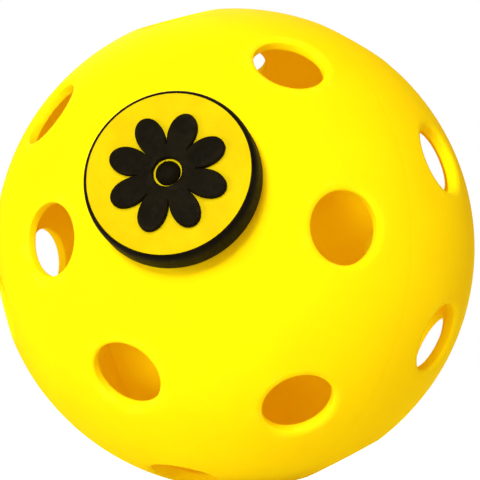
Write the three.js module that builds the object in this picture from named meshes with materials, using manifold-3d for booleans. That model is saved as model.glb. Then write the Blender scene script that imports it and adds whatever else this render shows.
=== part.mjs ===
// A 26-hole indoor pickleball of two welded half shells, with a soft badge plugged into one of its holes.
// Millimetres. The origin is the ball's centre, +Z is up, and the ball's front pole looks along -Y.

import * as THREE from 'three';
import { mergeVertices } from 'three/addons/utils/BufferGeometryUtils.js';
import Module from 'manifold-3d';

const wasm = await Module();
wasm.setup();

// Ball: size, wall and hole pattern of one half shell
const ballDiameter = 74;
const wallThickness = 1.9;
const holeDiameter = 10.8;
const holeEdgeWidth = 0.9;
const holeEdgeDepth = 0.4;
const innerRingHoles = 4;
const innerRingAngle = 36;
const outerRingHoles = 8;
const outerRingAngle = 72;

// Ball: how the halves are turned and joined
const poleRoll = 2;
const weldTwist = -3.45;
const weldGap = 0.3;
const beadWidth = 2.4;
const beadHeight = 0.9;
const beadClearance = 0.3;

// Badge tray: a round cup, its centre a little off the hole that it is plugged into
const badgeDiameter = 24.8;
const badgeOffsetOut = -0.45;
const badgeOffsetAlong = -1.6;
const badgeTurn = 8;
const trayRim = 0.55;
const trayLip = 0.15;
const shoulderHeight = 1.6;
const trayWeb = 1.75;
const skirtWidth = 1.6;
const skirtDepth = 0.5;
const trayBackRound = 0.4;
const seatClearance = 0.3;
const layerClearance = 0.3;

// Badge colours, laid into the tray and raised on its face
const faceThickness = 0.9;
const faceDrop = 0.1;
const faceEdgeRound = 0.15;
const petalCount = 8;
const petalMargin = 2.8;
const hubWidth = 1.45;
const petalRise = 0.6;
const petalBevel = 0.2;
const centreDiameter = 3.6;
const centreRise = 0.5;

// Badge stud: flange in the tray's back, neck through the hole, soft head inside the ball
const flangeOverlap = 0.65;
const flangeThickness = 0.7;
const neckClearance = 1.35;
const headOverlap = 0.55;
const headLip = 0.7;
const headLength = 3.4;
const headTaper = 2.6;
const studFillet = 0.5;

// How finely round shapes are divided
const shellSides = 40;
const shellOuterSteps = 10;
const shellInnerSteps = 8;
const holeSides = 20;
const holeEdgeSteps = 2;
const discSides = 44;
const studSides = 24;
const filletSteps = 2;
const shoulderSteps = 3;
const petalSteps = 10;

// Worked out from the sizes above
const ballRadius = ballDiameter / 2;
const boreRadius = ballRadius - wallThickness;
const holeRadius = holeDiameter / 2;
const holeMouth = holeRadius + holeEdgeWidth;
const holeSpan = 360 / outerRingHoles;
const trayRadius = badgeDiameter / 2;
const cupRadius = trayRadius - trayRim;
const shoulderWidth = trayRim - trayLip;
const faceRadius = cupRadius - layerClearance;
const hubWindow = centreDiameter / 2 + layerClearance;
const petalRoot = hubWindow + hubWidth;
const petalTip = faceRadius - petalMargin;
const flangeRadius = holeMouth + flangeOverlap;
const neckRadius = holeRadius - neckClearance;
const headRadius = holeRadius + headOverlap;

// Heights along the badge's hole, from the ball's centre
const mouthHeight = Math.sqrt(ballRadius ** 2 - holeMouth ** 2);
const trayBack = mouthHeight + seatClearance;
const flangeFront = trayBack + flangeThickness;
const pocketRoof = flangeFront + layerClearance;
const trayFloor = pocketRoof + trayWeb;
const faceBack = trayFloor + layerClearance;
const faceFront = faceBack + faceThickness;
const trayFront = faceFront + faceDrop;
const artBack = faceFront + layerClearance;
const headShoulder = Math.sqrt(boreRadius ** 2 - headRadius ** 2) - seatClearance;

const degrees = (angle) => THREE.MathUtils.degToRad(angle);

function surface(colour, roughness) {
  return new THREE.MeshStandardMaterial({ color: colour, roughness, metalness: 0 });
}

const shellPlastic = surface(0xfdf40a, 0.45);
const beadPlastic = surface(0xe9c400, 0.55);
const badgeBlack = surface(0x17130e, 0.5);
const badgeGold = surface(0xf5d80f, 0.5);

// Points of an arc in a profile: centre (r, h), radius, and angles in degrees from the r axis
function arc(r, h, radius, from, to, steps) {
  return Array.from({ length: steps + 1 }, (_, i) => {
    const angle = degrees(from + ((to - from) * i) / steps);
    return new THREE.Vector2(r + radius * Math.cos(angle), h + radius * Math.sin(angle));
  });
}

const at = (r, h) => new THREE.Vector2(r, h);

// A profile of (radius, height) points turned about +Z
function revolve(profile, sides) {
  return new THREE.LatheGeometry(profile, sides).rotateX(Math.PI / 2);
}

function toSolid(geometry) {
  const bare = geometry.clone();
  bare.deleteAttribute('normal');
  bare.deleteAttribute('uv');
  const merged = mergeVertices(bare, 1e-4);
  const corners = merged.index.array;
  const kept = [];
  for (let i = 0; i < corners.length; i += 3) {
    const [a, b, c] = corners.slice(i, i + 3);
    if (a !== b && b !== c && c !== a) kept.push(a, b, c);
  }
  const vertProperties = new Float32Array(merged.attributes.position.array);
  const triVerts = new Uint32Array(kept);
  return new wasm.Manifold(new wasm.Mesh({ numProp: 3, vertProperties, triVerts }));
}

function toGeometry(solid) {
  const { vertProperties, triVerts } = solid.getMesh();
  const geometry = new THREE.BufferGeometry();
  geometry.setAttribute('position', new THREE.BufferAttribute(vertProperties, 3));
  geometry.setIndex(new THREE.BufferAttribute(triVerts, 1));
  geometry.computeVertexNormals();
  return geometry;
}

function piece(name, geometry, material) {
  const mesh = new THREE.Mesh(geometry, material);
  mesh.name = name;
  return mesh;
}

// The core pin that leaves one hole: straight through the wall, flared outside into a wide, shallow round
function holeCutter() {
  const mouthEnd = 65;
  const beyond = wallThickness;
  const edgeCentre = mouthHeight - holeEdgeDepth;
  const flare = arc(0, 0, 1, 180, 180 - mouthEnd, holeEdgeSteps).map((point) =>
    at(holeMouth + holeEdgeWidth * point.x, edgeCentre + holeEdgeDepth * point.y)
  );
  const last = flare.at(-1);
  const slope = holeEdgeDepth / (holeEdgeWidth * Math.tan(degrees(mouthEnd)));
  const rise = ballRadius + beyond - last.y;
  const top = at(last.x + rise / slope, last.y + rise);
  const foot = Math.sqrt(boreRadius ** 2 - holeRadius ** 2) - beyond;
  return revolve([at(0, foot), at(holeRadius, foot), ...flare, top, at(0, top.y)], holeSides);
}

// Every hole of one half: [angle from the pole, angle round the pole]
function holePattern() {
  const ring = (count, angle, first) =>
    Array.from({ length: count }, (_, i) => [angle, first + (360 / count) * i]);
  return [
    [0, 0],
    ...ring(innerRingHoles, innerRingAngle, holeSpan / 2),
    ...ring(outerRingHoles, outerRingAngle, 0),
  ];
}

// One moulding, pole along +Z, open at the weld plane
function halfShell() {
  const rim = weldGap / 2;
  const rimAngle = (radius) => THREE.MathUtils.radToDeg(Math.asin(rim / radius));
  const outside = arc(0, 0, ballRadius, rimAngle(ballRadius), 90, shellOuterSteps);
  const inside = arc(0, 0, boreRadius, 90, rimAngle(boreRadius), shellInnerSteps);
  outside.at(-1).x = 0;
  inside[0].x = 0;
  const dome = [...inside, ...outside];
  const cutter = holeCutter();
  return toGeometry(
    holePattern().reduce((shell, [fromPole, roundPole]) => {
      const pin = cutter.clone().rotateY(degrees(fromPole)).rotateZ(degrees(roundPole));
      return shell.subtract(toSolid(pin));
    }, toSolid(revolve(dome, shellSides)))
  );
}

// The half-round bead of plastic that the weld squeezes out inside the seam
function weldBead() {
  const foot = Math.sqrt(boreRadius ** 2 - (beadWidth / 2) ** 2) - beadClearance;
  const bulge = Array.from({ length: 2 * filletSteps + 1 }, (_, i) => {
    const angle = degrees(-90 + (180 * i) / (2 * filletSteps));
    return at(foot - beadHeight * Math.cos(angle), (-beadWidth / 2) * Math.sin(angle));
  });
  return revolve([...bulge, bulge[0].clone()], shellSides);
}

// The round tray that the colours are filled into: its side curves in to a thin lip, a skirt at the back
// leans towards the ball, and a pocket in its back takes the stud's flange
function badgeTray() {
  const skirtFoot = trayBack - skirtDepth;
  const shoulder = arc(0, 0, 1, 0, 90, shoulderSteps).map((point) =>
    at(cupRadius + trayLip + shoulderWidth * point.x, trayFront + shoulderHeight * (point.y - 1))
  );
  const tray = revolve([
    at(0, trayBack),
    at(trayRadius - skirtWidth, trayBack),
    ...arc(trayRadius - trayBackRound, skirtFoot + trayBackRound, trayBackRound, -90, 0, filletSteps),
    ...shoulder,
    at(cupRadius, trayFront),
    at(cupRadius, trayFloor),
    at(0, trayFloor),
  ], discSides).translate(badgeOffsetOut, badgeOffsetAlong, 0);
  const pocketRadius = flangeRadius + layerClearance;
  const pocketMouth = trayBack - layerClearance;
  const pocket = revolve([
    at(0, pocketMouth),
    at(pocketRadius, pocketMouth),
    at(pocketRadius, pocketRoof),
    at(0, pocketRoof),
  ], studSides);
  return toGeometry(toSolid(tray).subtract(toSolid(pocket)));
}

function badgeFace() {
  return revolve([
    at(0, faceBack),
    at(faceRadius, faceBack),
    ...arc(faceRadius - faceEdgeRound, faceFront - faceEdgeRound, faceEdgeRound, 0, 90, filletSteps),
    at(0, faceFront),
  ], discSides);
}

// A rosette of round petals: the outline's radius swells from root to tip and back for each petal
function badgeRosette() {
  const outline = Array.from({ length: petalCount * petalSteps }, (_, i) => {
    const swell = Math.sqrt(Math.abs(Math.cos((Math.PI * i) / petalSteps)));
    const radius = petalRoot + (petalTip - petalRoot) * swell - petalBevel;
    const angle = (2 * Math.PI * i) / (petalCount * petalSteps);
    return at(radius * Math.cos(angle), radius * Math.sin(angle));
  });
  const shape = new THREE.Shape(outline);
  shape.holes.push(new THREE.Path().absarc(0, 0, hubWindow + petalBevel, 0, 2 * Math.PI, true));
  return new THREE.ExtrudeGeometry(shape, {
    depth: petalRise - 2 * petalBevel,
    curveSegments: petalSteps,
    bevelThickness: petalBevel,
    bevelSize: petalBevel,
    bevelSegments: 1,
  }).translate(0, 0, petalBevel);
}

// The low round dome in the middle of the rosette
function badgeCentre() {
  const radius = centreDiameter / 2;
  const sphere = (radius ** 2 + centreRise ** 2) / (2 * centreRise);
  const edge = THREE.MathUtils.radToDeg(Math.acos(radius / sphere));
  const crown = arc(0, centreRise - sphere, sphere, edge, 90, 2 * filletSteps);
  crown.at(-1).x = 0;
  return revolve([at(0, 0), ...crown], studSides);
}

// Flange, neck and mushroom head of the stud, turned about the hole's own axis
function badgeStud() {
  const tip = headShoulder - headLength;
  return revolve([
    at(0, tip),
    at(headRadius - headTaper, tip),
    at(headRadius, headShoulder - studFillet - headLip),
    ...arc(headRadius - studFillet, headShoulder - studFillet, studFillet, 0, 90, filletSteps),
    ...arc(neckRadius + studFillet, headShoulder + studFillet, studFillet, 270, 180, filletSteps),
    at(neckRadius, trayBack),
    at(flangeRadius, trayBack),
    at(flangeRadius, flangeFront),
    at(0, flangeFront),
  ], studSides);
}

const pickleball = new THREE.Group();

// Both halves share the pole axis; the back one is the same moulding turned over and twisted at the weld
const ball = new THREE.Group();
ball.rotation.set(degrees(90), 0, degrees(poleRoll), 'XYZ');
const shell = halfShell();
const shellBack = piece('shell_back', shell, shellPlastic);
shellBack.rotation.set(0, degrees(180), degrees(1.5 * holeSpan + weldTwist), 'ZYX');
ball.add(piece('shell_front', shell, shellPlastic), shellBack, piece('weld_bead', weldBead(), beadPlastic));

// The badge stands square to the first hole of the inner ring
const badge = new THREE.Group();
badge.rotation.set(0, degrees(innerRingAngle), degrees(holeSpan / 2), 'ZYX');
const layers = new THREE.Group();
layers.position.set(badgeOffsetOut, badgeOffsetAlong, 0);
layers.rotation.z = degrees(badgeTurn);
const rosette = piece('badge_rosette', badgeRosette(), badgeBlack);
rosette.position.z = artBack;
const centre = piece('badge_centre', badgeCentre(), badgeBlack);
centre.position.z = artBack;
layers.add(piece('badge_face', badgeFace(), badgeGold), rosette, centre);
badge.add(piece('badge_tray', badgeTray(), badgeBlack), layers, piece('badge_stud', badgeStud(), badgeBlack));

ball.add(badge);
pickleball.add(ball);

export default pickleball;
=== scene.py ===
# A 26-hole indoor pickleball: two moulded half shells welded at the equator, and a soft rubber badge
# whose stud is pushed into one of the holes. Metres, +Z up, in the construction model's own frame.
import math

import bmesh
import bpy
import numpy as np
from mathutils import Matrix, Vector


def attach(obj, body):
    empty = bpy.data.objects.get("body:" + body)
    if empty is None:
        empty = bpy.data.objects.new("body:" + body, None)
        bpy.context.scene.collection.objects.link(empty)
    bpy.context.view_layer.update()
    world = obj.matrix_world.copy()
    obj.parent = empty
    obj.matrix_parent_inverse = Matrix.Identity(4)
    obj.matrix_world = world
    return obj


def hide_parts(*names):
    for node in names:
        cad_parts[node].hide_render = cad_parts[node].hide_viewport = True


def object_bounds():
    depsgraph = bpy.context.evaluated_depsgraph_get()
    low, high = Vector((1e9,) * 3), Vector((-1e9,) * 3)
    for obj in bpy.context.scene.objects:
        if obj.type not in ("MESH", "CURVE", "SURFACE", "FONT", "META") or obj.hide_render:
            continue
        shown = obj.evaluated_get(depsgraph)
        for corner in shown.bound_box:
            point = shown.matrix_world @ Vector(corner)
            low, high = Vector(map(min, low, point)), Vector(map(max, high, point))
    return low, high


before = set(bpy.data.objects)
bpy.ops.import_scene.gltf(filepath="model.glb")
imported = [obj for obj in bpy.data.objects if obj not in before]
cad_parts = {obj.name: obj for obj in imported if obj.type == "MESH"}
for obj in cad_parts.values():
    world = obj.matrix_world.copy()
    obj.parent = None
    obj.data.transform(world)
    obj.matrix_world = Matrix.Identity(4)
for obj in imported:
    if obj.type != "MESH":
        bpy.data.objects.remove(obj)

construction_box = [list(corner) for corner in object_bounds()]

# Camera: a little below the ball's middle, looking up at it by three degrees. It is shifted so that the
# ball's left and lower edges run out of the picture, as they do in the photograph.
camera_azimuth = math.radians(46.87)
camera_elevation = math.radians(-2.93)
camera_distance = 0.333
focal_length = 161.06
sensor_width = 36
picture_shift = (0.0111, 0.0172)
nearest_seen = 0.01


def look_at_ball(viewer, azimuth, elevation, distance):
    """Links a camera or lamp and turns it to the ball's centre from a distance. Azimuth 0 is on the -Y
    side and grows towards +X; elevation is the angle above the horizontal."""
    bpy.context.scene.collection.objects.link(viewer)
    viewer.location = (distance * math.sin(azimuth) * math.cos(elevation),
                       -distance * math.cos(azimuth) * math.cos(elevation),
                       distance * math.sin(elevation))
    viewer.rotation_euler = (math.pi / 2 - elevation, 0, azimuth)


camera = bpy.data.objects.new("camera", bpy.data.cameras.new("camera"))
camera.data.sensor_width = sensor_width
camera.data.lens = focal_length
camera.data.shift_x, camera.data.shift_y = picture_shift
camera.data.clip_start = nearest_seen
look_at_ball(camera, camera_azimuth, camera_elevation, camera_distance)
bpy.context.scene.camera = camera
bpy.context.scene.view_settings.view_transform = "Standard"


# Studio: a dim warm room that is seen as plain white, and a pale floor. A wide lamp stands above and left
# of the camera, a small one near it shines in through the holes, and three weak ones stand round the ball.
def add(tree, kind, inputs=None, **properties):
    """A new node of a kind, with its properties, and with its inputs set to values or linked to sockets."""
    made = tree.nodes.new(kind)
    for name, value in properties.items():
        setattr(made, name, value)
    for name, value in (inputs or {}).items():
        if isinstance(value, bpy.types.NodeSocket):
            tree.links.new(value, made.inputs[name])
        else:
            made.inputs[name].default_value = value
    return made


def worked(tree, operation, *values, **properties):
    """The result of a Math node: an operation on two or three values, each a number or a socket."""
    return add(tree, "ShaderNodeMath", dict(enumerate(values)), operation=operation, **properties).outputs[0]


def mixed(tree, share, first, second):
    """A colour between two colours: first times (1 - share) plus second times share. A Mix node has
    sockets for each type of value; 6, 7 and 2 are the two colours and their mix."""
    return add(tree, "ShaderNodeMix", {"Factor": share, 6: first, 7: second}, data_type="RGBA").outputs[2]


def seen_directly(tree):
    """1 where a ray comes straight from the camera, from a reflection or through glass, and 0 elsewhere."""
    rays = add(tree, "ShaderNodeLightPath").outputs
    mirrored = worked(tree, "MAXIMUM", rays["Is Camera Ray"], rays["Is Glossy Ray"])
    return worked(tree, "MAXIMUM", mirrored, rays["Is Transmission Ray"])


room_light = (0.38, 0.175, 0.12, 1)
white = (1, 1, 1, 1)

world = bpy.data.worlds.new("studio_room")
bpy.context.scene.world = world
world.use_nodes = True
room = world.node_tree
room.nodes.clear()
room_colour = mixed(room, seen_directly(room), room_light, white)
backdrop = add(room, "ShaderNodeBackground", {"Color": room_colour})
add(room, "ShaderNodeOutputWorld", {"Surface": backdrop.outputs[0]})

lamp_distance = 0.9


def soft_lamp(name, left, elevation, energy, size):
    """A round area lamp, placed by the degrees that it stands left of the camera and above the horizontal.
    All lamps stand at one distance from the ball's centre."""
    lamp = bpy.data.objects.new(name, bpy.data.lights.new(name, "AREA"))
    lamp.data.shape = "DISK"
    lamp.data.size = size
    lamp.data.energy = energy
    look_at_ball(lamp, camera_azimuth - math.radians(left), math.radians(elevation), lamp_distance)


soft_lamp("key_lamp", left=14, elevation=31, energy=4.8, size=0.5)
soft_lamp("near_lamp", left=16.5, elevation=17, energy=2.9, size=0.1)
soft_lamp("fill_lamp", left=60, elevation=3, energy=1.5, size=0.2)
soft_lamp("edge_lamp", left=-95, elevation=3, energy=0.46, size=0.2)
soft_lamp("back_lamp", left=170, elevation=35, energy=2.6, size=0.5)

floor_reach = 3.0
floor_paint = (0.86, 0.86, 0.86, 1)
floor_lift = (0.8, 0.86, 0.9, 1)

floor = bpy.data.objects.new("floor", bpy.data.meshes.new("floor"))
bpy.context.scene.collection.objects.link(floor)
floor_height = construction_box[0][2]
floor_corners = np.array([(-1, -1), (1, -1), (1, 1), (-1, 1)]) * floor_reach
floor.data.from_pydata([(x, y, floor_height) for x, y in floor_corners], [], [(0, 1, 2, 3)])
floor_finish = bpy.data.materials.new("floor_paint")
floor_finish.use_nodes = True
paint = floor_finish.node_tree
paint.nodes.clear()
matt = add(paint, "ShaderNodeBsdfDiffuse", {"Color": floor_paint})
lift = add(paint, "ShaderNodeEmission", {"Color": floor_lift, "Strength": seen_directly(paint)})
both = add(paint, "ShaderNodeAddShader", {0: matt.outputs[0], 1: lift.outputs[0]})
add(paint, "ShaderNodeOutputMaterial", {"Surface": both.outputs[0]})
floor.data.materials.append(floor_finish)


# Half shells: two copies of one moulding in lemon-yellow polyethylene, a 1.9 mm wall with 13 round holes,
# each with a dished mouth. The back half is turned over, twisted a little, and welded on at the equator.
mm = 0.001
wall = 1.9
hole_radius = 5.31
mouth_width = 0.9
mouth_depth = 0.4
inner_round = 0.35
ring_counts = (1, 4, 8)
ring_angles = (0, 36, 72)
ring_starts = (0, 22.5, 0)
pole_roll = 2
back_twist = 64.05
weld_depth = 0.02
weld_spread = 0.22

azimuth_step = math.radians(2.9)
mouth_steps = 10
mouth_tries = 20
round_steps = 5
outer_rows = np.array([0, 0.02, 0.05, 0.1, 0.18, 0.3, 0.44, 0.58, 0.72, 0.84, 0.93])
inner_rows = np.array([0.15, 0.35, 0.55, 0.78, 1])
same_point = 1e-6
rounding = 1e-9
join_distance = 0.0003
sharp_angle = 50

wear_beside_mouth = 0.35
bore_wear = (0.8, 0.25)
inner_round_wear = 0.15


def turn(axis, angle):
    """The matrix of a turn about one axis, numbered 0 to 2, by an angle in degrees."""
    cosine, sine = math.cos(math.radians(angle)), math.sin(math.radians(angle))
    first, second = (axis + 1) % 3, (axis + 2) % 3
    matrix = np.eye(3)
    matrix[first, first] = matrix[second, second] = cosine
    matrix[first, second] = -sine
    matrix[second, first] = sine
    return matrix


def cad_span(name, axes):
    """Lowest and highest corner of a construction node, in millimetres along the columns of axes."""
    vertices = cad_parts[name].data.vertices
    points = np.empty(len(vertices) * 3)
    vertices.foreach_get("co", points)
    along = points.reshape(-1, 3) @ axes / mm
    return along.min(0), along.max(0)


def arc(centre, radius, start, end, steps):
    """Points of an arc in a section: centre plus radius times (cosine, sine) of evenly spaced degrees."""
    angle = np.radians(np.linspace(start, end, steps + 1))
    return np.stack([centre[0] + radius * np.cos(angle), centre[1] + radius * np.sin(angle)], -1)


def grid_quads(rows, columns, closed_rows=False):
    """Quads between neighbouring points of a grid whose last column meets its first. Their front is on
    the side where a turn from column to column and then from row to row goes anticlockwise."""
    row = np.arange(rows if closed_rows else rows - 1)[:, None]
    column = np.arange(columns)[None]
    here, above = row * columns, (row + 1) % rows * columns
    beside = (column + 1) % columns
    return np.stack([here + column, here + beside, above + beside, above + column], -1).reshape(-1, 4)


def make_piece(name, points, quads, axes, material, body, marks=None, shift=(0, 0, 0)):
    """A mesh piece from points in millimetres along the columns of axes, moved by shift. Coincident points
    are joined, which closes seams and poles. It rides on its body and replaces the node of its name."""
    mesh = bpy.data.meshes.new(name)
    placed = (points.reshape(-1, 3) + shift) @ axes.T * mm
    mesh.vertices.add(len(placed))
    mesh.vertices.foreach_set("co", placed.ravel())
    mesh.loops.add(quads.size)
    mesh.loops.foreach_set("vertex_index", quads.ravel())
    mesh.polygons.add(len(quads))
    mesh.polygons.foreach_set("loop_start", np.arange(0, quads.size, 4))
    mesh.update(calc_edges=True)
    for mark, values in (marks or {}).items():
        mesh.attributes.new(mark, "FLOAT", "POINT").data.foreach_set("value", values.ravel())
    joined = bmesh.new()
    joined.from_mesh(mesh)
    bmesh.ops.remove_doubles(joined, verts=joined.verts, dist=join_distance * mm)
    joined.to_mesh(mesh)
    joined.free()
    mesh.shade_smooth()
    mesh.set_sharp_from_angle(angle=math.radians(sharp_angle))
    mesh.materials.append(material)
    piece = bpy.data.objects.new(name + "_surface", mesh)
    bpy.context.scene.collection.objects.link(piece)
    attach(piece, body)
    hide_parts(name)


def hole_directions():
    """Unit vectors from the ball's centre to the holes of one half, pole along +Z: rings of evenly spaced
    holes, each ring at its own angle from the pole."""
    from_pole = np.radians(np.repeat(ring_angles, ring_counts))
    round_pole = np.concatenate([np.radians(start + np.arange(count) * 360 / count)
                                 for count, start in zip(ring_counts, ring_starts)])
    return np.stack([np.sin(from_pole) * np.cos(round_pole), np.sin(from_pole) * np.sin(round_pole),
                     np.cos(from_pole)], -1)


def hole_section(outer, inner):
    """The section of a hole's edge, as (radius, height) along the hole's axis: over the mouth, down the
    bore and over the inner round. The mouth is part of an ellipse that starts along the outer sphere and
    ends along the bore. Its start and its lean there depend on each other and are found by stepping."""
    lean = 0.0
    for _ in range(mouth_tries):
        reach = hole_radius + mouth_width * (1 + math.cos(lean))
        lean = math.atan2(mouth_depth * math.sqrt(outer ** 2 - reach ** 2), mouth_width * reach)
    start = np.array([reach, math.sqrt(outer ** 2 - reach ** 2)])
    over = np.linspace(lean, math.pi, mouth_steps + 1)[:, None]
    mouth = start + (np.cos(over) - math.cos(lean)) * (mouth_width, 0) + (
        np.sin(over) - math.sin(lean)) * (0, mouth_depth)
    round_middle = hole_radius + inner_round
    round_height = math.sqrt((inner + inner_round) ** 2 - round_middle ** 2)
    round_end = 180 + math.degrees(math.atan2(round_height, round_middle))
    inner_arc = arc((round_middle, round_height), inner_round, 180, round_end, round_steps)
    return np.concatenate([mouth, inner_arc])


def cell_border(hole, others, east, north):
    """The cell of the points nearer to one hole than to any other, as directions round the hole and the
    angle out to the border in each. In direction t a neighbour's border lies at atan2(1 - hole.other,
    t.other), and the nearest counts. Corners are where two bisecting planes meet on the sphere, and each
    side is divided evenly in azimuth, so that cells on both sides of a border share its points."""
    gaps = hole - others
    first, second = np.triu_indices(len(others), 1)
    corners = np.cross(gaps[first], gaps[second])
    length = np.linalg.norm(corners, axis=1)
    corners = corners[length > same_point] / length[length > same_point, None]
    corners *= np.sign(corners @ hole)[:, None]
    corners = corners[(corners @ gaps.T).min(1) > -rounding]
    azimuths = np.sort(np.arctan2(corners @ north, corners @ east))
    azimuths = azimuths[np.diff(azimuths, append=azimuths[0] + 2 * np.pi) > same_point]
    ends = np.append(azimuths[1:], azimuths[0] + 2 * np.pi)
    azimuth = np.concatenate([
        np.linspace(start, end, max(1, round((end - start) / azimuth_step)), endpoint=False)
        for start, end in zip(azimuths, ends)
    ])
    outward = np.cos(azimuth)[:, None] * east + np.sin(azimuth)[:, None] * north
    border = np.arctan2(1 - others @ hole, outward @ others.T).min(1)
    return outward, border


def half_shell(outer, inner):
    """Points, quads and wear marks of one half. Each hole has a grid: column by column round the hole, and
    row by row in along the outer sphere, through the hole's section and back out along the inner sphere.
    The outer skin dips at the weld by a bell curve of the height above it. Quads from the last row to the
    first close the rim where the halves are welded, and are left out at the other borders."""
    section = hole_section(outer, inner)
    from_mouth, from_round = math.asin(section[0, 0] / outer), math.atan2(*section[-1])
    wear = np.concatenate([
        np.zeros(len(outer_rows) - 1), [wear_beside_mouth], np.ones(mouth_steps), bore_wear,
        np.full(round_steps, inner_round_wear), np.zeros(len(inner_rows)),
    ])
    holes = hole_directions()
    mirrored = holes[-ring_counts[-1]:] * (1, 1, -1)
    points, quads, marks, count = [], [], [], 0
    for number, hole in enumerate(holes):
        others = np.concatenate([np.delete(holes, number, 0), mirrored])
        east = np.cross((0.0, 1.0, 0.0), hole)
        east /= np.linalg.norm(east)
        outward, border = cell_border(hole, others, east, np.cross(hole, east))
        flat = np.ones_like(border)
        out = border + (from_mouth - border) * outer_rows[:, None]
        back = from_round + (border - from_round) * inner_rows[:, None]
        above_weld = (np.cos(out) * hole[2] + np.sin(out) * outward[:, 2]) * outer
        skin = outer - weld_depth * np.exp(-(above_weld / weld_spread) ** 2)
        across = np.concatenate([skin * np.sin(out), section[:, :1] * flat, inner * np.sin(back)])
        along = np.concatenate([skin * np.cos(out), section[:, 1:] * flat, inner * np.cos(back)])
        grid = across[..., None] * outward + along[..., None] * hole
        rows, columns = across.shape
        at_rim = np.abs(grid[0, :, 2]) < same_point
        kept = np.concatenate([np.full((rows - 1) * columns, True), at_rim & np.roll(at_rim, -1)])
        points.append(grid.reshape(-1, 3))
        quads.append(grid_quads(rows, columns, closed_rows=True)[kept] + count)
        marks.append((wear[:, None] * flat).ravel())
        count += rows * columns
    return np.concatenate(points), np.concatenate(quads), {"edge": np.concatenate(marks)}


def new_group(name, inputs, outputs):
    """An empty shader node group with named inputs, given as (name, socket type, value), and outputs."""
    group = bpy.data.node_groups.new(name, "ShaderNodeTree")
    for label, kind, value in inputs:
        group.interface.new_socket(label, in_out="INPUT", socket_type=kind).default_value = value
    for label, kind in outputs:
        group.interface.new_socket(label, in_out="OUTPUT", socket_type=kind)
    return group, group.nodes.new("NodeGroupInput").outputs, group.nodes.new("NodeGroupOutput").inputs


def noise(tree, place, scale, **settings):
    """The value of a noise texture, about 0.5 on average, at a place."""
    return add(tree, "ShaderNodeTexNoise", {"Vector": place, "Scale": scale, **settings}).outputs["Fac"]


def stretched(tree, value, low, high, new_low=0.0, new_high=1.0, interpolation="LINEAR"):
    """A value whose range from low to high is mapped to a new range and clamped to it."""
    return add(tree, "ShaderNodeMapRange",
               {"Value": value, "From Min": low, "From Max": high, "To Min": new_low, "To Max": new_high},
               interpolation_type=interpolation).outputs[0]


cloud_height = 1.5


def moulded_plastic():
    """Colour, roughness and height of moulded plastic. Slow noise turns the colour towards a deeper one,
    fine noise is the grain of the mould's skin and swings the roughness, and the height is their sum."""
    group, given, made = new_group(
        "moulded_plastic",
        [("Colour", "NodeSocketColor", white), ("Deep Colour", "NodeSocketColor", white),
         ("Cloud Scale", "NodeSocketFloat", 60.0), ("Grain Scale", "NodeSocketFloat", 2500.0),
         ("Roughness", "NodeSocketFloat", 0.5), ("Roughness Swing", "NodeSocketFloat", 0.1)],
        [("Colour", "NodeSocketColor"), ("Roughness", "NodeSocketFloat"), ("Height", "NodeSocketFloat")])
    place = add(group, "ShaderNodeTexCoord").outputs["Object"]
    cloud = noise(group, place, given["Cloud Scale"], Detail=4.0, Roughness=0.6)
    grain = noise(group, place, given["Grain Scale"], Detail=2.0)
    depth = stretched(group, cloud, 0.35, 0.72, interpolation="SMOOTHSTEP")
    swing = stretched(group, grain, 0.3, 0.7, new_low=-0.5, new_high=0.5)
    group.links.new(mixed(group, depth, given["Colour"], given["Deep Colour"]), made["Colour"])
    group.links.new(worked(group, "MULTIPLY_ADD", swing, given["Roughness Swing"], given["Roughness"]),
                    made["Roughness"])
    group.links.new(worked(group, "MULTIPLY_ADD", cloud, cloud_height, grain), made["Height"])
    return group


def use_wear():
    """A mask of light wear: broken noise along raised edges, and hairlines in scattered patches. A hairline
    is where a drawn-out noise passes through the middle of its range."""
    group, given, made = new_group(
        "use_wear", [("Edge", "NodeSocketFloat", 0.0), ("Edge Amount", "NodeSocketFloat", 0.5),
                     ("Scratch Amount", "NodeSocketFloat", 0.3)], [("Mask", "NodeSocketFloat")])
    place = add(group, "ShaderNodeTexCoord").outputs["Object"]
    rub = stretched(group, noise(group, place, 420.0, Detail=5.0, Roughness=0.65), 0.46, 0.66,
                    interpolation="SMOOTHSTEP")
    rubbed = worked(group, "MULTIPLY", rub, given["Edge"])
    rubbed = worked(group, "MULTIPLY", rubbed, given["Edge Amount"])
    drawn = add(group, "ShaderNodeMapping", {"Vector": place, "Rotation": (0.5, 0.9, 0.3),
                                             "Scale": (1, 9, 1.5)}).outputs[0]
    from_middle = worked(group, "SUBTRACT", noise(group, drawn, 130.0, Detail=2.0, Distortion=0.3), 0.5)
    lines = stretched(group, worked(group, "ABSOLUTE", from_middle), 0.0, 0.006, new_low=1.0, new_high=0.0)
    patch = stretched(group, noise(group, place, 75.0), 0.54, 0.68)
    lines = worked(group, "MULTIPLY", lines, patch)
    mask = worked(group, "MULTIPLY_ADD", lines, given["Scratch Amount"], rubbed, use_clamp=True)
    group.links.new(mask, made["Mask"])
    return group


plastic_group = moulded_plastic()
wear_group = use_wear()
wear_roughness = 0.18
wear_relief = -0.6


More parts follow.
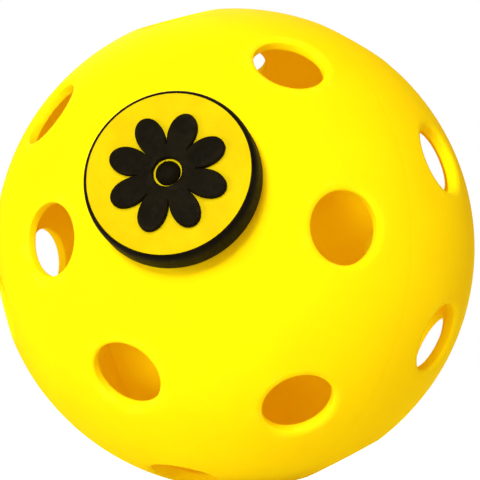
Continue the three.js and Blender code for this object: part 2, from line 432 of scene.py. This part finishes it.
def finish_of(name, colours, roughness, swing, cloud, grain, edge_wear, scratches, bump, shader):
    """A material of moulded plastic. Of its three colours the first varies towards the second, and wear
    mixes in the third, roughens it and sinks its height. The height drives a bump of (strength, distance).
    The numbers in shader go to the shader's own sockets."""
    plain, deep, worn = colours
    material = bpy.data.materials.new(name)
    material.use_nodes = True
    tree = material.node_tree
    tree.nodes.clear()
    skin = add(tree, "ShaderNodeGroup", node_tree=plastic_group)
    for label, value in (("Colour", plain), ("Deep Colour", deep), ("Cloud Scale", cloud),
                         ("Grain Scale", grain), ("Roughness", roughness), ("Roughness Swing", swing)):
        skin.inputs[label].default_value = value
    wear = add(tree, "ShaderNodeGroup", node_tree=wear_group)
    edge = add(tree, "ShaderNodeAttribute", attribute_name="edge")
    tree.links.new(edge.outputs["Fac"], wear.inputs["Edge"])
    wear.inputs["Edge Amount"].default_value = edge_wear
    wear.inputs["Scratch Amount"].default_value = scratches
    mask = wear.outputs["Mask"]
    tint = mixed(tree, mask, skin.outputs["Colour"], worn)
    rough = worked(tree, "MULTIPLY_ADD", mask, wear_roughness, skin.outputs["Roughness"])
    relief = worked(tree, "MULTIPLY_ADD", mask, wear_relief, skin.outputs["Height"])
    normal = add(tree, "ShaderNodeBump", {"Height": relief, "Strength": bump[0], "Distance": bump[1]})
    surface = add(tree, "ShaderNodeBsdfPrincipled", {"Base Color": tint, "Roughness": rough,
                                                     "Normal": normal.outputs[0], **shader})
    add(tree, "ShaderNodeOutputMaterial", {"Surface": surface.outputs[0]})
    return material


# The faint glow is painted light: it stands in for the light that the thin wall passes from one side to the
# other, and warms the shaded side towards orange.
lemon = (0.98, 0.88, 0.003, 1)
deep_lemon = (0.97, 0.83, 0.003, 1)
worn_lemon = (0.99, 0.93, 0.02, 1)
polyethylene_painted_glow = {"Specular IOR Level": 0.004, "Emission Color": (1.0, 0.19, 0.0, 1),
                "Emission Strength": 0.09}
shell_finish = finish_of(
    "lemon_polyethylene", colours=(lemon, deep_lemon, worn_lemon), roughness=0.6, swing=0.1, cloud=55.0,
    grain=2600.0, edge_wear=0.4, scratches=0.3, bump=(0.12, 0.00008),
    shader={**polyethylene_painted_glow, "Subsurface Weight": 0.12, "Subsurface Radius": (1.0, 0.55, 0.05),
            "Subsurface Scale": 0.0015})

shell_low, shell_high = cad_span("shell_front", np.eye(3))
ball_radius = (shell_high[0] - shell_low[0]) / 2
bore_radius = ball_radius - wall
ball_axes = turn(0, 90) @ turn(2, pole_roll)
back_axes = ball_axes @ turn(2, back_twist) @ turn(1, 180)
shell_points, shell_quads, shell_marks = half_shell(ball_radius, bore_radius)
for half, half_axes in (("shell_front", ball_axes), ("shell_back", back_axes)):
    make_piece(half, shell_points, shell_quads, half_axes, shell_finish, "ball", shell_marks)


# Weld bead: the hot plate that joins the halves squeezes a low, uneven roll of melted polyethylene out
# of the joint on the inside, where nothing trims it. It is duller and a little deeper in colour.
bead_half_width = 1.2
bead_height = 0.32
bead_sink = 0.05
bead_columns = 720
bead_steps = 14
bead_waves = ((0.5, 7, 1), (0.3, 19, 2), (0.2, 43, 4))
height_swing = 0.2
width_swing = 0.12
width_lag = 40


def weld_roll(bore):
    """Points of the bead: round the equator by columns, and over a half-round section by rows. Its height
    and width swing by a sum of sine waves, given as (share, waves round the ball, start), and the width
    lags behind the height by some columns."""
    angle = np.linspace(0, 2 * np.pi, bead_columns, endpoint=False)
    uneven = sum(share * np.sin(waves * angle + start) for share, waves, start in bead_waves)
    over = np.radians(np.linspace(-90, 90, bead_steps + 1))[:, None]
    height = bead_height * (1 + height_swing * uneven) * np.cos(over)
    along = bead_half_width * (1 + width_swing * np.roll(uneven, width_lag)) * np.sin(over)
    radius = math.sqrt(bore ** 2 - bead_half_width ** 2) + bead_sink - height
    return np.stack([radius * np.cos(angle), radius * np.sin(angle), along * np.ones_like(angle)], -1)


# The bead carries the same painted glow as the shells.
bead_finish = finish_of(
    "weld_polyethylene", colours=((0.98, 0.86, 0.003, 1), (0.96, 0.79, 0.003, 1), worn_lemon), roughness=0.6,
    swing=0.15, cloud=140.0, grain=1800.0, edge_wear=0.0, scratches=0.0, bump=(0.25, 0.0001),
    shader=polyethylene_painted_glow)
bead_points = weld_roll(bore_radius)[::-1]
make_piece("weld_bead", bead_points, grid_quads(*bead_points.shape[:2], closed_rows=True), ball_axes,
           bead_finish, "ball")


# Badge tray: the soft black rubber cup that carries the badge's colours. Its side curves in towards a thin
# lip round the golden face, and a low skirt at its back leans down towards the ball.
badge_azimuth = 22.5
badge_angle = 36
tray_sides = 256
rim_width = 0.7
lip_width = 0.15
lip_round = 0.06
shoulder_rise = 1.6
skirt_width = 1.6
skirt_depth = 0.5
skirt_round = 0.4
lip_wear_reach = 0.5


def revolved(section, sides):
    """A section of (radius, height) points turned about the badge's axis: one row for each point of the
    section and one column for each side."""
    angle = np.linspace(0, 2 * np.pi, sides, endpoint=False)
    return np.stack([section[:, :1] * np.cos(angle), section[:, :1] * np.sin(angle),
                     section[:, 1:] * np.ones_like(angle)], -1)


badge_axes = ball_axes @ turn(2, badge_azimuth) @ turn(1, badge_angle)
tray_low, tray_high = cad_span("badge_tray", badge_axes)
tray_centre = np.array([(tray_low[0] + tray_high[0]) / 2, (tray_low[1] + tray_high[1]) / 2, 0])
tray_radius = (tray_high[0] - tray_low[0]) / 2
tray_foot, tray_front = tray_low[2], tray_high[2]
tray_back = tray_foot + skirt_depth
cup_radius = tray_radius - rim_width
face_low, face_high = cad_span("badge_face", badge_axes)
face_back, face_front = face_low[2], face_high[2]
face_radius = (face_high[0] - face_low[0]) / 2

rubber_black = finish_of(
    "rubber_black",
    colours=((0.0035, 0.0024, 0.0006, 1), (0.0055, 0.004, 0.0012, 1), (0.016, 0.013, 0.007, 1)),
    roughness=0.5, swing=0.16, cloud=160.0, grain=2200.0, edge_wear=0.35, scratches=0.25,
    bump=(0.3, 0.00008), shader={"Specular IOR Level": 0.02})
shoulder = arc((0, 0), 1, 0, 90, steps=12) * (rim_width - lip_width, shoulder_rise)
tray_section = np.concatenate([
    [(0, tray_back), (tray_radius - skirt_width, tray_back)],
    arc((tray_radius - skirt_round, tray_foot + skirt_round), skirt_round, -90, 0, steps=8),
    shoulder + (cup_radius + lip_width, tray_front - shoulder_rise),
    arc((cup_radius + lip_round, tray_front - lip_round), lip_round, 90, 180, steps=3),
    [(cup_radius, face_back), (cup_radius / 2, face_back), (0, face_back)],
])
lip_wear = np.clip(1 - np.abs(tray_section[:, 1] - tray_front) / lip_wear_reach, 0, 1)
make_piece("badge_tray", revolved(tray_section, tray_sides), grid_quads(len(tray_section), tray_sides),
           badge_axes, rubber_black, "badge", {"edge": np.repeat(lip_wear, tray_sides)},
           tray_centre)


# Badge face: golden liquid rubber poured into the tray and cured. It wets the rim, so its surface curls up
# a little all round, and it keeps the faint waves in which it set.
face_sides = 256
face_dip = 0.04
meniscus_height = 0.1
meniscus_reach = 0.2
rim_band = 0.8
rim_rings = 14
middle_rings = np.array([0.3, 0.6, 0.85])

golden_rubber = finish_of(
    "rubber_gold", colours=((0.65, 0.53, 0.0015, 1), (0.6, 0.47, 0.001, 1), (0.72, 0.61, 0.01, 1)),
    roughness=0.42, swing=0.12, cloud=220.0, grain=2400.0, edge_wear=0.3, scratches=0.2, bump=(0.2, 0.00008),
    shader={"Specular IOR Level": 0.01})
from_rim = np.concatenate([cup_radius * (1 - middle_rings), np.linspace(rim_band, 0, rim_rings)])
face_rise = face_front - face_dip + meniscus_height * np.exp(-from_rim / meniscus_reach)
face_section = np.concatenate([
    [(0, face_back), (cup_radius, face_back)],
    np.stack([cup_radius - from_rim, face_rise], -1)[::-1],
    [(0, face_rise[0])],
])
make_piece("badge_face", revolved(face_section, face_sides), grid_quads(len(face_section), face_sides),
           badge_axes, golden_rubber, "badge", None, tray_centre)


# Badge rosette: eight round black petals in one casting, raised on the golden face, with rolled edges, a
# soft crown along each petal and a round window in the middle.
layer_turn = 8
layer_sink = 0.1
petals = 8
petal_points = 40
notch_softness = 0.09
petal_margin = 2.8
hub_width = 1.45
clearance = 0.3
petal_roll = 0.22
petal_crown = 0.1
crown_skew = 0.7
crown_mean, crown_swing = 0.55, 0.45
roll_steps = 6
top_rows = 13
side_wear, roll_wear, top_wear = 0.2, 0.6, 0.5


def petal_outline(root, tip):
    """The rosette's outline. Its radius swells from root to tip as the fourth root of squared cosine plus
    a small softness, which rounds the notches. Points crowd towards the notches, where it turns fast."""
    along = np.linspace(-1, 1, petal_points, endpoint=False) + 1 / petal_points
    lean = np.sign(along) * (1 - (1 - np.abs(along)) ** 2) * np.pi / petals
    angle = (lean + 2 * np.pi / petals * np.arange(petals)[:, None]).ravel()
    swell = (np.cos(angle * petals / 2) ** 2 + notch_softness ** 4) ** 0.25
    radius = root + (tip - root) * swell / (1 + notch_softness ** 4) ** 0.25
    return np.stack([radius * np.cos(angle), radius * np.sin(angle)], -1), angle


def at_height(flat, height):
    """Points of a plane lifted to a height: one number, or one for each point."""
    return np.column_stack([flat, np.broadcast_to(height, len(flat))])


def raised_art(outline, angle, window, base, top, roll, crown):
    """A raised casting with an outline and a round window. Rows climb the outer wall, roll over the edge by
    a quarter round, cross the top on straight lines with a crown between, and go down the window's wall.
    The crown is highest along a petal's middle, and nearer to its tip than to the window."""
    ahead = np.roll(outline, -1, 0) - np.roll(outline, 1, 0)
    inwards = np.stack([-ahead[:, 1], ahead[:, 0]], -1)
    inwards /= np.linalg.norm(inwards, axis=1)[:, None]
    ring = np.stack([np.cos(angle), np.sin(angle)], -1)
    over = np.radians(np.linspace(0, 90, roll_steps + 1))
    roll_in, roll_up = roll * (1 - np.cos(over)), top - crown - roll + roll * np.sin(over)
    shoulder, collar = outline + inwards * roll, ring * (window + roll)
    ridge = crown * (crown_mean + crown_swing * np.cos(angle * petals))
    rows = [at_height(outline, base)]
    rows += [at_height(outline + inwards * drawn, height) for drawn, height in zip(roll_in, roll_up)]
    for share in np.linspace(0, 1, top_rows + 2)[1:-1]:
        height = top - crown + ridge * np.sin(math.pi * share ** crown_skew)
        rows.append(at_height(shoulder + (collar - shoulder) * share, height))
    rows += [at_height(ring * (window + drawn), height)
             for drawn, height in zip(roll_in[::-1], roll_up[::-1])]
    rows.append(at_height(ring * window, base))
    return np.stack(rows)


art_black = finish_of(
    "rubber_black_art",
    colours=((0.0042, 0.0034, 0.001, 1), (0.008, 0.0062, 0.0022, 1), (0.02, 0.017, 0.009, 1)),
    roughness=0.55, swing=0.2, cloud=300.0, grain=1500.0, edge_wear=0.4, scratches=0.3, bump=(0.5, 0.0001),
    shader={"Specular IOR Level": 0.02})
layer_axes = badge_axes @ turn(2, layer_turn)
layer_shift = tray_centre @ turn(2, layer_turn)
layer_base = face_front - layer_sink
art_top = cad_span("badge_rosette", badge_axes)[1][2]
centre_low, centre_high = cad_span("badge_centre", badge_axes)
centre_radius = (centre_high[0] - centre_low[0]) / 2
art_window = centre_radius + clearance
outline, outline_angle = petal_outline(art_window + hub_width, face_radius - petal_margin)
rosette = raised_art(outline, outline_angle, art_window, layer_base, art_top, petal_roll, petal_crown)
climb = np.linspace(roll_wear, 1, roll_steps + 1)
art_wear = np.concatenate([[side_wear], climb, [top_wear], np.zeros(top_rows - 2), [top_wear], climb[::-1],
                           [side_wear]])
make_piece("badge_rosette", rosette, grid_quads(*rosette.shape[:2], closed_rows=True), layer_axes, art_black,
           "badge", {"edge": np.repeat(art_wear, len(outline))}, layer_shift)


# Badge centre: a low round boss of the same black rubber, set in the rosette's window.
boss_sides = 96
boss_steps = 15
boss_wall = 0.15


def low_dome(radius, base, top):
    """A section of a shallow dome: a short wall, and an arc of a large circle up to the axis. A circle that
    rises by h over a radius r has the radius (r * r + h * h) / 2h."""
    rise = top - base - boss_wall
    sphere = (radius ** 2 + rise ** 2) / (2 * rise)
    angle = np.linspace(math.asin(radius / sphere), 0, boss_steps + 1)
    crown = np.stack([sphere * np.sin(angle), top - sphere + sphere * np.cos(angle)], -1)
    return np.concatenate([[(0, base), (radius, base)], crown])


boss_section = low_dome(centre_radius, layer_base, centre_high[2])
make_piece("badge_centre", revolved(boss_section, boss_sides), grid_quads(len(boss_section), boss_sides),
           layer_axes, art_black, "badge", None, layer_shift)


# Badge stud: one rubber turning, moulded in black. Its flange sits in the tray's back, its neck passes the
# hole, and its tapered head is squeezed through the hole and springs out behind the wall.
stud_sides = 128
head_overlap = 0.55
neck_play = 1.35
head_taper = 2.6
head_length = 3.4
head_lip = 0.6
gate_radius = 0.9
gate_depth = 0.35
tip_round = 0.4
brim_round = 0.3
stud_round = 0.5
flange_round = 0.3

stud_low, stud_high = cad_span("badge_stud", badge_axes)
flange_radius = (stud_high[0] - stud_low[0]) / 2
stud_tip, flange_front = stud_low[2], stud_high[2]
head_radius = hole_radius + head_overlap
neck_radius = hole_radius - neck_play
tip_radius = head_radius - head_taper
head_back = stud_tip + head_length
stud_section = np.concatenate([
    [(0, stud_tip + gate_depth)],
    arc((gate_radius, stud_tip + gate_depth), gate_depth, 180, 270, steps=6)[1:],
    arc((tip_radius - tip_round, stud_tip + tip_round), tip_round, -90, -30, steps=5),
    arc((head_radius - brim_round, head_back - stud_round - head_lip), brim_round, -35, 0, steps=4),
    arc((head_radius - stud_round, head_back - stud_round), stud_round, 0, 90, steps=7),
    arc((neck_radius + stud_round, head_back + stud_round), stud_round, 270, 180, steps=7),
    arc((neck_radius + flange_round, tray_back - flange_round), flange_round, 180, 90, steps=4),
    [(flange_radius, tray_back), (flange_radius, flange_front), (0, flange_front)],
])
make_piece("badge_stud", revolved(stud_section, stud_sides), grid_quads(len(stud_section), stud_sides),
           badge_axes, rubber_black, "stud")
